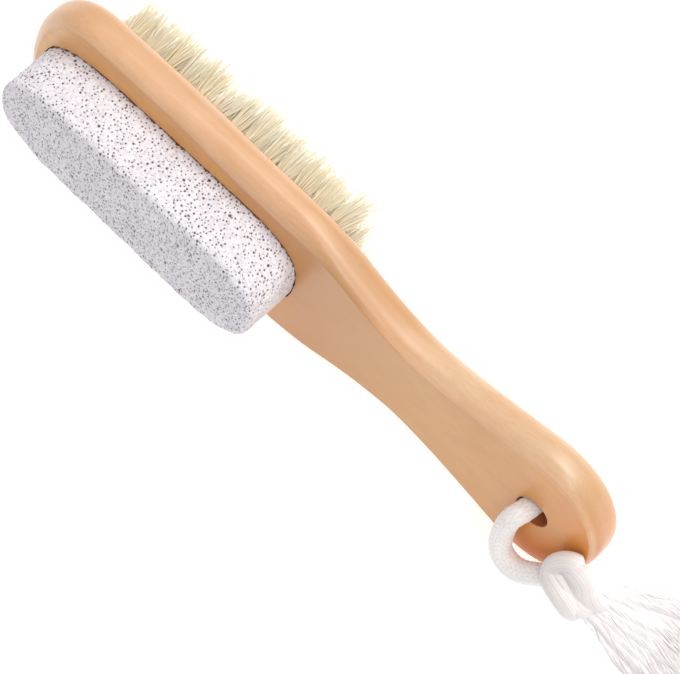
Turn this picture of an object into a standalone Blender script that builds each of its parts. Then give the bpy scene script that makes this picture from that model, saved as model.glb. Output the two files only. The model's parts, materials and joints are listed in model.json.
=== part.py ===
"""Two-sided foot scrubber: a wooden paddle with a pumice stone on one face and bristle tufts on the other.

The brush is modelled in its own frame: x runs from the head's tip to the grip's end, +y points out of the
bristle face, -y out of the stone face, and z runs across the board's width. That frame is then laid on the
ground as the brush rests, on the lower edge of its head and the tips of its lowest row of bristles.
Lengths are in metres.
"""

import random
from math import asin, atan2, cos, hypot, pi, sin

import bmesh
import bpy
from mathutils import Matrix, Vector

# Wooden board
board_length = 0.1775
board_thickness = 0.0098
edge_radius = 0.0035
head_width = 0.0472
head_crown_at = 0.0600
head_side_radius = 1.43
waist_width = 0.0279
grip_width = 0.0456
shoulder_at = 0.0768
waist_at = 0.1178
grip_full_at = 0.1730
nose_run = 0.0168
nose_power = 2.37
tail_run = 0.0248
tail_power = 2.00

# Cord hole through the grip end
hole_diameter = 0.0087
hole_from_end = 0.0177
hole_chamfer = 0.0003

# Pumice stone in a shallow seat
stone_length = 0.0794
stone_width = 0.0282
stone_taper = 0.10
stone_height = 0.0151
stone_from_tip = 0.0054
stone_tip_run = 0.0228
stone_tip_power = 2.50
stone_end_run = 0.0212
stone_end_power = 2.70
stone_edge_radius = 0.0018
seat_depth = 0.0020
seat_clearance = 0.0003
adhesive_thickness = 0.0006
adhesive_inset = 0.0015

# Bristle tufts
trim_height = 0.0125
trim_unevenness = 0.0012
field_centre = 0.0508
tuft_pitch = 0.0053
row_pitch = 0.0088
outer_row_tufts = 13
inner_row_tufts = 14
tuft_hole_diameter = 0.0036
tuft_hole_depth = 0.0052
tuft_clearance = 0.0003
root_below_face = 0.0005
strands_per_tuft = 7
strand_inset = 0.35
strand_tip_share = 0.75
splay_along = 0.0018
splay_across = 0.0034
splay_outer_row = 0.0005

# Cotton cord
cord_diameter = 0.0054
cord_point_spacing = 0.0026
cord_clearance = 0.0003

# The cord's route in the brush frame, from the hole's centre: from the knot up the stone side, through the
# hole and down the bristle side to the knot again
cord_route = [
    (0.0123, -0.0088, -0.0099),
    (0.0111, -0.0090, -0.0113),
    (0.0095, -0.0092, -0.0133),
    (0.0080, -0.0094, -0.0154),
    (0.0061, -0.0095, -0.0171),
    (0.0041, -0.0094, -0.0182),
    (0.0019, -0.0093, -0.0179),
    (0.0000, -0.0093, -0.0162),
    (-0.0013, -0.0092, -0.0133),
    (-0.0020, -0.0090, -0.0098),
    (-0.0024, -0.0089, -0.0064),
    (-0.0024, -0.0086, -0.0029),
    (-0.0020, -0.0079, -0.0006),
    (-0.0014, -0.0063, 0.0004),
    (-0.0010, -0.0034, 0.0006),
    (-0.0009, 0.0000, 0.0007),
    (-0.0009, 0.0032, 0.0006),
    (-0.0012, 0.0062, 0.0002),
    (-0.0013, 0.0081, -0.0015),
    (-0.0010, 0.0088, -0.0046),
    (0.0008, 0.0089, -0.0084),
    (0.0037, 0.0088, -0.0118),
    (0.0070, 0.0084, -0.0145),
    (0.0102, 0.0071, -0.0166),
    (0.0128, 0.0046, -0.0178),
    (0.0144, 0.0013, -0.0179),
    (0.0152, -0.0019, -0.0172),
    (0.0156, -0.0044, -0.0158),
]

# Overhand knot, from the hole's centre
knot_centre = (0.0168, -0.0080, -0.0096)
knot_length_direction = (0.630, -0.380, -0.676)
knot_length = 0.0156
knot_width = 0.0108
knot_height = 0.0098
knot_groove = 0.0005
knot_bands = 3
rim_reach = 0.0215
rim_clearance = 0.0004

# Frayed ends, from the hole's centre, with each section's place, width and thickness
tassel_stations = [
    ((0.0212, -0.0058, -0.0116), 0.0082, 0.0066),
    ((0.0236, -0.0043, -0.0129), 0.0096, 0.0062),
    ((0.0266, -0.0024, -0.0148), 0.0118, 0.0058),
    ((0.0301, -0.0009, -0.0165), 0.0146, 0.0052),
    ((0.0339, 0.0004, -0.0179), 0.0176, 0.0045),
    ((0.0370, 0.0016, -0.0188), 0.0202, 0.0038),
    ((0.0399, 0.0027, -0.0196), 0.0226, 0.0032),
    ((0.0433, 0.0038, -0.0203), 0.0248, 0.0028),
    ((0.0470, 0.0048, -0.0207), 0.0264, 0.0024),
    ((0.0507, 0.0056, -0.0207), 0.0272, 0.0020),
]

# Faceting
edge_steps = 3
nose_steps = 7
side_step = 0.0072
stone_end_steps = 11
hole_sides = 20
rim_sides = 48
tuft_sides = 10

hole_x = board_length - hole_from_end
face = board_thickness / 2
cord_radius = cord_diameter / 2
outer_row_z = 1.5 * row_pitch
plug_radius = tuft_hole_diameter / 2 - tuft_clearance


def clear_scene():
    for scene_object in list(bpy.data.objects):
        bpy.data.objects.remove(scene_object, do_unlink=True)


def material(name, colour, roughness):
    made = bpy.data.materials.new(name)
    made.use_nodes = True
    shader = made.node_tree.nodes["Principled BSDF"]
    shader.inputs["Base Color"].default_value = (*colour, 1.0)
    shader.inputs["Roughness"].default_value = roughness
    shader.inputs["Metallic"].default_value = 0.0
    made.diffuse_color = (*colour, 1.0)
    return made


def empty(name, parent=None, location=(0.0, 0.0, 0.0)):
    made = bpy.data.objects.new(name, None)
    made.empty_display_size = 0.01
    made.location = location
    made.parent = parent
    bpy.context.collection.objects.link(made)
    return made


def add_object(name, data, surface, parent, location=(0.0, 0.0, 0.0)):
    made = bpy.data.objects.new(name, data)
    made.location = location
    made.parent = parent
    if surface is not None:
        data.materials.append(surface)
    bpy.context.collection.objects.link(made)
    return made


def finished_mesh(name, bm, smooth_angle=0.6):
    bmesh.ops.recalc_face_normals(bm, faces=bm.faces)
    mesh = bpy.data.meshes.new(name)
    bm.to_mesh(mesh)
    bm.free()
    mesh.shade_smooth()
    mesh.set_sharp_from_angle(angle=smooth_angle)
    return mesh


def subtract(target, cutter):
    cutter.hide_render = True
    cutter.display_type = "WIRE"
    cut = target.modifiers.new(cutter.name, "BOOLEAN")
    cut.operation = "DIFFERENCE"
    cut.solver = "EXACT"
    cut.object = cutter


def loft(bm, rings):
    """Joins closed rings of equal length and caps the first and the last."""
    made = [[bm.verts.new(point) for point in ring] for ring in rings]
    count = len(made[0])
    for low, high in zip(made, made[1:]):
        for i in range(count):
            j = (i + 1) % count
            bm.faces.new((low[i], low[j], high[j], high[i]))
    bm.faces.new(made[0])
    bm.faces.new(made[-1])


def smoothstep(value, start, end):
    t = min(max((value - start) / (end - start), 0.0), 1.0)
    return t * t * (3.0 - 2.0 * t)


def board_half_width(x):
    """Half the board's width before its two ends are rounded."""
    to_waist = smoothstep(x, shoulder_at, waist_at)
    to_grip = smoothstep(x, waist_at, grip_full_at)
    head = head_width / 2 - (x - head_crown_at) ** 2 / (2.0 * head_side_radius)
    return head * (1.0 - to_waist) + waist_width / 2 * (to_waist - to_grip) + grip_width / 2 * to_grip


def board_outline():
    """The board's outline as (x, z) points, up one side and back along the other."""
    side = []
    for i in range(nose_steps):
        angle = pi / 2 * i / nose_steps
        x = nose_run * (1.0 - cos(angle) ** (2.0 / nose_power))
        side.append((x, board_half_width(x) * sin(angle) ** (2.0 / nose_power)))
    straight = board_length - nose_run - tail_run
    steps = round(straight / side_step)
    for i in range(steps):
        x = nose_run + straight * i / steps
        side.append((x, board_half_width(x)))
    for i in range(nose_steps + 1):
        angle = pi / 2 * i / nose_steps
        x = board_length - tail_run + tail_run * sin(angle) ** (2.0 / tail_power)
        side.append((x, board_half_width(x) * max(cos(angle), 0.0) ** (2.0 / tail_power)))
    return side + [(x, -z) for x, z in side[-2:0:-1]]


def inset_outline(outline, distance):
    """The outline moved inwards by a distance along its own normals."""
    moved = []
    count = len(outline)
    for i, (x, z) in enumerate(outline):
        before = outline[i - 1]
        after = outline[(i + 1) % count]
        run = Vector((after[0] - before[0], after[1] - before[1])).normalized()
        moved.append((x + run.y * distance, z - run.x * distance))
    return moved


def quarter_round(radius, steps):
    """Pairs of inset and depth below a face, from the face's rim to the side wall."""
    return [(radius * (1.0 - sin(a)), radius * (1.0 - cos(a))) for a in (pi / 2 * i / steps for i in range(steps + 1))]


def stone_half_width(x):
    """Half the stone's width before its ends are rounded, a little less towards the head's tip."""
    share = min(max((x - stone_from_tip) / stone_length, 0.0), 1.0)
    return stone_width / 2 * (1.0 - stone_taper * (1.0 - share))


def stone_outline(grow):
    """An oblong with blunt rounded ends as (x, z) points, grown by a distance all round."""
    grip_end = (-pi / 2, 1.0, stone_from_tip + stone_length - stone_end_run, stone_end_run, stone_end_power)
    tip_end = (pi / 2, -1.0, stone_from_tip + stone_tip_run, stone_tip_run, stone_tip_power)
    points = []
    for turn, way, start, run, power in (grip_end, tip_end):
        for i in range(stone_end_steps + 1):
            angle = turn + pi * i / stone_end_steps
            x = start + way * abs(cos(angle)) ** (2.0 / power) * (run + grow)
            side = abs(sin(angle)) ** (2.0 / power) * (stone_half_width(x) + grow)
            points.append((x, side if sin(angle) > 0.0 else -side))
    return points[::-1]


def build_board(parent):
    outline = board_outline()
    levels = [(inset, -face + depth) for inset, depth in quarter_round(edge_radius, edge_steps)]
    levels += [(inset, -y) for inset, y in reversed(levels)]
    bm = bmesh.new()
    rings = []
    for inset, y in levels:
        rings.append([(x, y, z) for x, z in inset_outline(outline, inset)])
    loft(bm, rings)
    surface = material("lacquered_hardwood", (0.80, 0.55, 0.31), 0.38)
    return add_object("wooden_handle", finished_mesh("wooden_handle", bm), surface, parent)


def cut_seat(board, parent):
    bm = bmesh.new()
    outline = stone_outline(seat_clearance)
    floor_y = -face + seat_depth
    outside_y = -face - seat_depth
    loft(bm, [[(x, y, z) for x, z in outline] for y in (outside_y, floor_y)])
    subtract(board, add_object("stone_seat_cutter", finished_mesh("stone_seat_cutter", bm), None, parent))


def turned(bm, centre, profile, sides):
    """A solid turned about the y direction from (radius, y) pairs."""
    rings = []
    for radius, y in profile:
        ring = []
        for i in range(sides):
            angle = 2.0 * pi * i / sides
            ring.append((centre[0] + radius * cos(angle), y, centre[1] + radius * sin(angle)))
        rings.append(ring)
    loft(bm, rings)


def cut_cord_hole(board, parent):
    radius = hole_diameter / 2
    flare = radius + 2.0 * hole_chamfer
    reach = face + hole_chamfer
    profile = [
        (flare, -reach),
        (radius, -face + hole_chamfer),
        (radius, face - hole_chamfer),
        (flare, reach),
    ]
    bm = bmesh.new()
    turned(bm, (hole_x, 0.0), profile, hole_sides)
    subtract(board, add_object("cord_hole_cutter", finished_mesh("cord_hole_cutter", bm), None, parent))


def tuft_places():
    """Row, column and the (x, z) place of each tuft: two outer rows and two longer inner rows between them."""
    rows = ((outer_row_tufts, -1.5), (inner_row_tufts, -0.5), (inner_row_tufts, 0.5), (outer_row_tufts, 1.5))
    places = []
    for row, (count, step) in enumerate(rows, start=1):
        for column in range(count):
            x = field_centre + (column - (count - 1) / 2) * tuft_pitch
            places.append((row, column + 1, x, step * row_pitch))
    return places


def cut_tuft_holes(board, parent):
    bm = bmesh.new()
    profile = [(tuft_hole_diameter / 2, face - tuft_hole_depth), (tuft_hole_diameter / 2, face + tuft_hole_depth)]
    for _, _, x, z in tuft_places():
        turned(bm, (x, z), profile, tuft_sides)
    subtract(board, add_object("tuft_hole_cutter", finished_mesh("tuft_hole_cutter", bm), None, parent))


def build_adhesive(parent):
    outline = inset_outline(stone_outline(0.0), adhesive_inset)
    bottom = -face + seat_depth - seat_clearance
    bm = bmesh.new()
    loft(bm, [[(x, y, z) for x, z in outline] for y in (bottom - adhesive_thickness, bottom)])
    surface = material("set_adhesive", (0.62, 0.50, 0.32), 0.45)
    return add_object("stone_adhesive_bed", finished_mesh("stone_adhesive_bed", bm), surface, parent)


def build_stone(parent):
    outline = stone_outline(0.0)
    base_y = -face + seat_depth - 2.0 * seat_clearance - adhesive_thickness
    work_y = -face - stone_height
    levels = [(0.0, base_y)]
    levels += [(inset, work_y + depth) for inset, depth in reversed(quarter_round(stone_edge_radius, edge_steps))]
    bm = bmesh.new()
    rings = []
    for inset, y in levels:
        rings.append([(x, y, z) for x, z in inset_outline(outline, inset)])
    loft(bm, rings)
    surface = material("pumice", (0.78, 0.76, 0.79), 0.95)
    return add_object("pumice_stone", finished_mesh("pumice_stone", bm), surface, parent)


def strand_path(angle, row_side, chance):
    """The foot and tip offsets of one strand of a tuft, in the tuft's own frame."""
    wander = 0.0004
    length = trim_height
    across = splay_across
    facing_out = row_side != 0.0 and abs(sin(angle) - row_side) < 0.3
    if not facing_out:
        length -= trim_unevenness * chance.random()
        across -= wander * chance.random()
    along = splay_along - wander * chance.random()
    lean = splay_outer_row * row_side
    return Vector((along * cos(angle), length, across * sin(angle) + lean))


def build_tuft(name, place, row_side, surface, parent, chance):
    """One tuft: a plug in its hole and strands that fan out of it."""
    x, z = place
    bm = bmesh.new()
    start = pi / 2 if row_side >= 0.0 else -pi / 2
    half_step = pi / strands_per_tuft
    rim = []
    for i in range(strands_per_tuft):
        angle = start - half_step + 2.0 * half_step * i
        rim.append((plug_radius * cos(angle), plug_radius * sin(angle)))
    bottom_y = -tuft_hole_depth + tuft_clearance
    bottom = [bm.verts.new((px, bottom_y, pz)) for px, pz in rim]
    top = [bm.verts.new((px, -root_below_face, pz)) for px, pz in rim]
    middle = bm.verts.new((0.0, -root_below_face, 0.0))
    bm.faces.new(bottom)
    for i in range(strands_per_tuft):
        j = (i + 1) % strands_per_tuft
        bm.faces.new((bottom[i], bottom[j], top[j], top[i]))
        corners = [middle, top[i], top[j]]
        centre = sum((corner.co for corner in corners), Vector()) / 3.0
        foot = [bm.verts.new(corner.co.lerp(centre, strand_inset)) for corner in corners]
        offset = strand_path(start + 2.0 * half_step * i, row_side, chance)
        tip_centre = Vector((offset.x, offset.y, offset.z))
        tip = [bm.verts.new(tip_centre + (vertex.co - centre) * strand_tip_share) for vertex in foot]
        for a in range(3):
            b = (a + 1) % 3
            bm.faces.new((corners[a], corners[b], foot[b], foot[a]))
            bm.faces.new((foot[a], foot[b], tip[b], tip[a]))
        bm.faces.new(tip)
    mesh = finished_mesh(name, bm)
    return add_object(name, mesh, surface, parent, (x, face, z))


def build_tufts(parent):
    surface = material("natural_bristle", (0.88, 0.80, 0.60), 0.6)
    chance = random.Random(7)
    made = []
    for row, column, x, z in tuft_places():
        row_side = {1: -1.0, 4: 1.0}.get(row, 0.0)
        name = f"bristle_tuft_{row}_{column:02d}"
        made.append(build_tuft(name, (x, z), row_side, surface, parent, chance))
    return made


def spline_point(before, start, end, after, t):
    """A point of the smooth curve that passes through start and end."""
    return 0.5 * (
        2.0 * start
        + (end - before) * t
        + (2.0 * before - 5.0 * start + 4.0 * end - after) * t * t
        + (3.0 * start - before - 3.0 * end + after) * t * t * t
    )


def smooth_route(route, spacing):
    """Evenly spaced points along the smooth curve through a route's own points."""
    points = [Vector(point) for point in route]
    padded = [2.0 * points[0] - points[1]] + points + [2.0 * points[-1] - points[-2]]
    fine = []
    for i in range(len(points) - 1):
        fine += [spline_point(*padded[i : i + 4], step / 16.0) for step in range(16)]
    fine.append(points[-1])
    total = sum((b - a).length for a, b in zip(fine, fine[1:]))
    count = round(total / spacing)
    even = [fine[0]]
    walked = 0.0
    for a, b in zip(fine, fine[1:]):
        length = (b - a).length
        while len(even) < count and walked + length >= total * len(even) / count:
            even.append(a.lerp(b, (total * len(even) / count - walked) / length))
        walked += length
    even.append(fine[-1])
    return even


def tube(name, points, radius, surface, parent, resolution=2):
    curve = bpy.data.curves.new(name, "CURVE")
    curve.dimensions = "3D"
    curve.bevel_depth = radius
    curve.bevel_resolution = resolution
    curve.use_fill_caps = True
    spline = curve.splines.new("POLY")
    spline.points.add(len(points) - 1)
    for point, target in zip(spline.points, points):
        point.co = (*target, 1.0)
    return add_object(name, curve, surface, parent)


def swept_mesh(name, points, radius, sides=10):
    """A closed round bar along a route, as a mesh."""
    normal = (points[1] - points[0]).orthogonal().normalized()
    rings = []
    for i, point in enumerate(points):
        run = (points[min(i + 1, len(points) - 1)] - points[max(i - 1, 0)]).normalized()
        normal = (normal - run * normal.dot(run)).normalized()
        side = run.cross(normal)
        turns = [2.0 * pi * j / sides for j in range(sides)]
        rings.append([point + (normal * cos(turn) + side * sin(turn)) * radius for turn in turns])
    bm = bmesh.new()
    loft(bm, rings)
    return finished_mesh(name, bm)


def ground_up():
    """The direction away from the ground, in the brush frame."""
    return Vector((0.0, -sin(rest_lean), cos(rest_lean)))


def knot_frame():
    """The knot's own axes in the brush frame, as the columns of a matrix with its centre."""
    long_axis = Vector(knot_length_direction).normalized()
    side_axis = long_axis.cross(ground_up()).normalized()
    up_axis = side_axis.cross(long_axis)
    turned_axes = Matrix((long_axis, side_axis, up_axis)).transposed().to_4x4()
    return Matrix.Translation(knot_centre) @ turned_axes


def knot_mesh(name, grow):
    """A lump with the shallow grooves between the wraps of an overhand knot, grown by a distance."""
    around = 16
    along = 13
    frame = knot_frame()
    bm = bmesh.new()
    rings = []
    for i in range(1, along):
        angle = pi * i / along
        wave = abs(sin(pi * knot_bands * i / along))
        ring = []
        for j in range(around):
            turn = 2.0 * pi * j / around
            shrink = grow - knot_groove * (1.0 - wave)
            side = (knot_width / 2 + shrink) * sin(angle) ** 0.8 * cos(turn)
            rise = (knot_height / 2 + shrink) * sin(angle) ** 0.8 * sin(turn)
            ring.append(frame @ Vector((-(knot_length / 2 + grow) * cos(angle), side, rise)))
        rings.append(ring)
    loft(bm, rings)
    return finished_mesh(name, bm)


def build_knot(surface, parent, loop_points):
    knot = add_object("cord_knot", knot_mesh("cord_knot", 0.0), surface, parent)
    first = loop_points[0] + (loop_points[0] - loop_points[1]).normalized() * cord_clearance
    last = loop_points[-1] + (loop_points[-1] - loop_points[-2]).normalized() * cord_clearance
    route = [first] + loop_points + [last]
    fat = swept_mesh("loop_socket_cutter", route, cord_radius + cord_clearance)
    subtract(knot, add_object("loop_socket_cutter", fat, None, parent))
    cut_rim_way(knot, parent)
    return knot


def cut_rim_way(knot, parent):
    """Flattens the knot where the grip's end passes behind it as the cord swings."""
    half = face + rim_clearance
    bm = bmesh.new()
    turned(bm, (0.0, 0.0), [(rim_reach, -half), (rim_reach, half)], rim_sides)
    subtract(knot, add_object("rim_way_cutter", finished_mesh("rim_way_cutter", bm), None, parent))


def build_tassel(surface, parent):
    """The frayed ends as one flattened fan that starts at the knot."""
    around = 14
    bm = bmesh.new()
    rings = []
    places = [Vector(place) for place, _, _ in tassel_stations]
    up = ground_up()
    for i, (_, width, thickness) in enumerate(tassel_stations):
        run = places[min(i + 1, len(places) - 1)] - places[max(i - 1, 0)]
        side = up.cross(run).normalized()
        ring = []
        for j in range(around):
            turn = 2.0 * pi * j / around
            ring.append(places[i] + side * (cos(turn) * width / 2) + up * (sin(turn) * thickness / 2))
        rings.append(ring)
    loft(bm, rings)
    tassel = add_object("cord_tassel", finished_mesh("cord_tassel", bm), surface, parent)
    cutter = add_object("knot_socket_cutter", knot_mesh("knot_socket_cutter", cord_clearance), None, parent)
    subtract(tassel, cutter)
    return tassel


def lean_at_rest():
    """The angle at which the board's lower edge and the lowest bristle tips touch the ground together."""
    round_y = face - edge_radius
    round_z = head_width / 2 - edge_radius
    tip_half = plug_radius * cos(pi / strands_per_tuft) / 3.0 * (1.0 - strand_inset) * strand_tip_share
    tip_y = face + trim_height
    tip_z = outer_row_z + splay_across + splay_outer_row + tip_half
    run = tip_y - round_y
    rise = round_z - tip_z
    return atan2(rise, run) + asin(edge_radius / hypot(run, rise))


def lay_on_ground(frame, brush_pieces):
    """Leans the brush and puts the origin under the middle of its box."""
    turn = Matrix.Rotation(-rest_lean, 4, "X")
    corners = []
    for piece in brush_pieces:
        shift = Matrix.Translation(piece.location)
        corners += [turn @ shift @ vertex.co for vertex in piece.data.vertices]
    low = [min(corner[i] for corner in corners) for i in range(3)]
    high = [max(corner[i] for corner in corners) for i in range(3)]
    frame.rotation_euler = (-rest_lean, 0.0, 0.0)
    frame.location = (-(low[0] + high[0]) / 2, -(low[1] + high[1]) / 2, -low[2])


rest_lean = lean_at_rest()


def main():
    clear_scene()
    brush = empty("brush_frame")
    board = build_board(brush)
    cut_seat(board, brush)
    cut_cord_hole(board, brush)
    cut_tuft_holes(board, brush)
    pieces = [board, build_adhesive(brush), build_stone(brush)]
    pieces += build_tufts(brush)
    pivot = empty("cord_pivot", brush, (hole_x, 0.0, 0.0))
    cotton = material("white_cotton", (0.93, 0.91, 0.90), 0.9)
    loop_points = smooth_route(cord_route, cord_point_spacing)
    tube("cord_loop", loop_points, cord_radius, cotton, pivot)
    build_knot(cotton, pivot, loop_points)
    build_tassel(cotton, pivot)
    lay_on_ground(brush, pieces)


main()
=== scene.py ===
"""Looks of the two-sided foot scrubber: lacquered wood, pumice, natural bristle and a knotted cotton cord.

Shapes are worked out in the brush frame (x from the head's tip to the grip's end, +y out of the bristle face,
z across the board) and laid down by one matrix, as the part itself is. Lengths are in metres.
"""

import json
import random
from math import asin, atan2, cos, hypot, pi, radians, sin

import bmesh
import bpy
import numpy as np
from mathutils import Matrix, Vector, kdtree, noise


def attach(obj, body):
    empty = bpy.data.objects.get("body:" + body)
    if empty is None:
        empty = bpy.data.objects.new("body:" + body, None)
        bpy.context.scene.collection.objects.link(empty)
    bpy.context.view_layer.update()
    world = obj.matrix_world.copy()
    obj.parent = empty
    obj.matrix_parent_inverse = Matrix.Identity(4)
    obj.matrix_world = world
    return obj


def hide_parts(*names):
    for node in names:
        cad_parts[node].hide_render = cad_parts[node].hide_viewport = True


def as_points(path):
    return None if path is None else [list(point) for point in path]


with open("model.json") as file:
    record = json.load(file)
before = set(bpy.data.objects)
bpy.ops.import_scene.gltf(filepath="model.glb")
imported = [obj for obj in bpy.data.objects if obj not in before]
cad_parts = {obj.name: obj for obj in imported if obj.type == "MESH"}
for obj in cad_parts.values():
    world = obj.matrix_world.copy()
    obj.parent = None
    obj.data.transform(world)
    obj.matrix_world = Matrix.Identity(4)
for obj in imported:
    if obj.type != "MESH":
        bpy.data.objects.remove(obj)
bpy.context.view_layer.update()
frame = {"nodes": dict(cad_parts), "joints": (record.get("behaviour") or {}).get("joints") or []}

# Board, as in the part
board_length = 0.1775
board_thickness = 0.0098
edge_radius = 0.0035
head_width = 0.0472
head_crown_at = 0.0600
head_side_radius = 1.43
waist_width = 0.0279
grip_width = 0.0456
shoulder_at = 0.0768
waist_at = 0.1178
grip_full_at = 0.1730
nose_run = 0.0168
nose_power = 2.37
tail_run = 0.0248
tail_power = 2.00
hole_diameter = 0.0087
hole_from_end = 0.0177
hole_round = 0.0003

# The rounded edge: its break at the crease, its rings, the rings inside the crease by their distance from it,
# and its width as a share of edge_radius along the board
crease_break = radians(11.0)
edge_rings = 14
crease_insets = (0.0045, 0.0032, 0.0022, 0.0013, 0.0006, 0.0002)
edge_shares = (
    (0.045, 0.86),
    (0.062, 1.30),
    (0.078, 1.30),
    (0.094, 0.60),
    (0.113, 0.57),
    (0.120, 0.75),
    (0.149, 0.85),
    (0.162, 0.75),
    (0.170, 0.50),
    (0.1775, 0.36),
)

# Stone and seat
stone_length = 0.0794
stone_width = 0.0282
stone_taper = 0.10
stone_height = 0.0151
stone_from_tip = 0.0054
stone_tip_run = 0.0228
stone_tip_power = 2.50
stone_end_run = 0.0212
stone_end_power = 2.70
stone_edge_radius = 0.0018
seat_depth = 0.0020
seat_clearance = 0.0003
adhesive_thickness = 0.0006

# The seat's mouth: how far it opens beside the stone, how ragged it is, in what waves to the metre, and
# between what depths it narrows
mouth_gap = 0.00012
mouth_ragged = 0.00022
mouth_waves = 700.0
mouth_depths = (0.0001, 0.0006)

# The stone's mesh: points round it, rings on its wall, edge and work face, and how far in its middle line
# ends as a share of each end's run
stone_around = 1100
wall_rings = 76
round_rings = 14
work_rings = 66
middle_share = 0.65

# Unevenness of the stone: heights and their waves to the metre
stone_waves = ((0.00022, 260.0), (0.00015, 900.0), (0.00009, 2300.0))

# Open pores of the stone: how many, least and largest radius, and depth as a share of the radius
pore_kinds = ((2500, 0.00019, 0.00030, 0.9), (360, 0.00027, 0.00040, 0.9), (60, 0.00038, 0.00052, 0.8))
pore_spacing = 0.0007
pore_tries = 60000

# Bristles
trim_height = 0.0125
field_centre = 0.0508
tuft_pitch = 0.0053
row_pitch = 0.0088
outer_row_tufts = 13
inner_row_tufts = 14
tuft_hole_diameter = 0.0036
tuft_hole_depth = 0.0052
strands_per_tuft = 7
strand_inset = 0.35
strand_tip_share = 0.75
tuft_clearance = 0.0003
splay_across = 0.0034
splay_outer_row = 0.0005
tuft_hole_break = 0.0002
hairs_per_tuft = 150
hair_sides = 3
hair_root_spread = 0.0016
hair_root_depth = 0.0006
fan_along = 0.0036
fan_across = 0.0035
end_tuft_lean = {-1.0: -0.0006, 1.0: 0.0018}
tuft_clumps = 8
hairs_to_a_stray = 7
tip_above_ground = 0.00015

# Stations along a hair, and its share of its full width at each
hair_stations = (0.0, 0.25, 0.5, 0.75, 1.0)
hair_taper = (1.0, 1.0, 0.95, 0.8, 0.35)

# Cord
cord_diameter = 0.0054
stitch_columns = 8
stitch_pitch = 0.0018
stitch_depth = 0.00016
ply_depth = 0.00010
strand_step = 0.00018
loop_around = 112
knot_around = 150
strand_end_run = 0.0016

# The loop is thicker where it lies on its side: by how much, how far along it and over what run
loop_swell = 0.0005
loop_swell_at = 0.011
loop_swell_run = 0.007

# The turn from one hair or yarn to the next that spreads them evenly
golden_turn = 2.39996

face = board_thickness / 2
work_y = -face - stone_height
hole_x = board_length - hole_from_end
plug_radius = tuft_hole_diameter / 2 - tuft_clearance


def lean_at_rest():
    """The angle at which the board's lower edge and the lowest bristle tips touch the ground together."""
    round_y = face - edge_radius
    round_z = head_width / 2 - edge_radius
    tip_half = plug_radius * cos(pi / strands_per_tuft) / 3.0 * (1.0 - strand_inset) * strand_tip_share
    tip_y = face + trim_height
    tip_z = 1.5 * row_pitch + splay_across + splay_outer_row + tip_half
    run = tip_y - round_y
    rise = round_z - tip_z
    return atan2(rise, run) + asin(edge_radius / hypot(run, rise))


lean = lean_at_rest()
hole_place = Vector(frame["joints"][0]["pos_m"])
leaning = Matrix.Rotation(-lean, 4, "X")
brush = Matrix.Translation(hole_place) @ leaning @ Matrix.Translation((-hole_x, 0.0, 0.0))
ground_up = np.array((0.0, -sin(lean), cos(lean)))
ground_level = -hole_place.z
hole_offset = np.array((hole_x, 0.0, 0.0))


# Nodes and materials


def srgb(red, green, blue):
    """A colour given as eight-bit screen values, as the linear numbers that shaders take."""
    shares = [value / 255.0 for value in (red, green, blue)]
    return (*(v / 12.92 if v <= 0.04045 else ((v + 0.055) / 1.055) ** 2.4 for v in shares), 1.0)


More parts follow.
